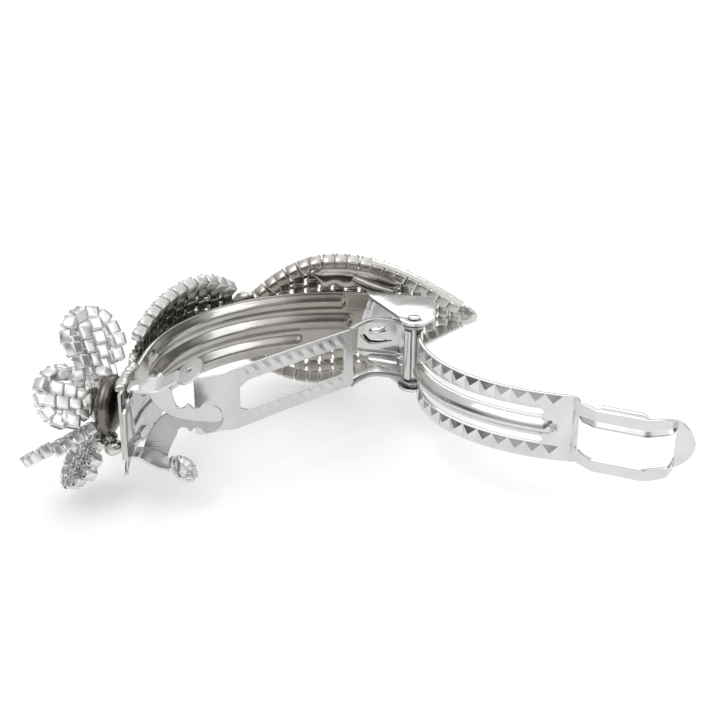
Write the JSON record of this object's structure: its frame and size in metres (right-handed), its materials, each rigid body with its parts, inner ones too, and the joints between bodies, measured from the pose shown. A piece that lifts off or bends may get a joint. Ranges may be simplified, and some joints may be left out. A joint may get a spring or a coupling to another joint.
{
  "type": "hair clip",
  "caption": "Open French barrette with spring catch, tension bar and hinged lever, decorated with a cup-chain rhinestone flower and leaves.",
  "frame": {"origin": "centre of the footprint, on the plane the clip stands on with one long edge down", "axes": "+Z along the clip's width, +X from the catch end towards the open lever's loop, +Y towards the decorated side"},
  "size_m": [0.0888, 0.0482, 0.0262],
  "materials": {
    "plated_steel": "bright nickel plate, rolled sheet steel",
    "pressed_steel": "bright nickel plate, warm reflections, pressed ribs",
    "cup_chain": "silver plated cup chain",
    "crystal": "clear foiled crystal",
    "solder": "soft solder, plated over"
  },
  "bodies": {
    "base": {"base_plate": "pressed_steel", "catch_plate": "plated_steel", "catch_rivet": "plated_steel", "hinge_bracket": "plated_steel", "hinge_pin": "plated_steel", "flower_dome": "solder", "solder_bead": "solder", "centre_cup": "cup_chain", "centre_stone": "crystal", "leaf_large_mesh": "cup_chain", "leaf_large_rim_upper": "cup_chain", "leaf_large_rim_lower": "cup_chain", "leaf_small_mesh": "cup_chain", "leaf_small_rim_upper": "cup_chain", "leaf_small_rim_lower": "cup_chain", "petal_1": "cup_chain", "petal_rim_1": "cup_chain", "petal_2": "cup_chain", "petal_rim_2": "cup_chain", "petal_3": "cup_chain", "petal_rim_3": "cup_chain", "petal_4": "cup_chain", "petal_rim_4": "cup_chain", "petal_5": "cup_chain", "petal_rim_5": "cup_chain"},
    "lever": {"lever": "plated_steel"},
    "tension_bar": {"tension_bar": "plated_steel"},
    "latch_upper": {"latch_arm_upper": "plated_steel"},
    "latch_lower": {"latch_arm_lower": "plated_steel"}
  },
  "joints": [
    {"name": "lever_hinge", "type": "hinge", "parent": "base", "child": "lever", "pos_m": [0.00887, 0.00543, 0.01287], "axis": [0, 0, -1], "range_deg": [0, 97.5]},
    {"name": "tension_bar_flex", "type": "hinge", "parent": "base", "child": "tension_bar", "pos_m": [0.00887, 0.00543, 0.01287], "axis": [0, 0, -1], "range_deg": [0, 22.65]},
    {"name": "latch_upper_squeeze", "type": "hinge", "parent": "base", "child": "latch_upper", "pos_m": [-0.02923, -0.01682, 0.01785], "axis": [0, 1, 0], "range_deg": [0, 6], "stiffness_Nm_per_rad": 0.02},
    {"name": "latch_lower_squeeze", "type": "hinge", "parent": "base", "child": "latch_lower", "pos_m": [-0.02923, -0.01682, 0.00789], "axis": [0, -1, 0], "range_deg": [0, 6], "stiffness_Nm_per_rad": 0.02}
  ],
  "couplings": [
    {"joint": "tension_bar_flex", "follows": "lever_hinge", "ratio": 0.2323}
  ]
}
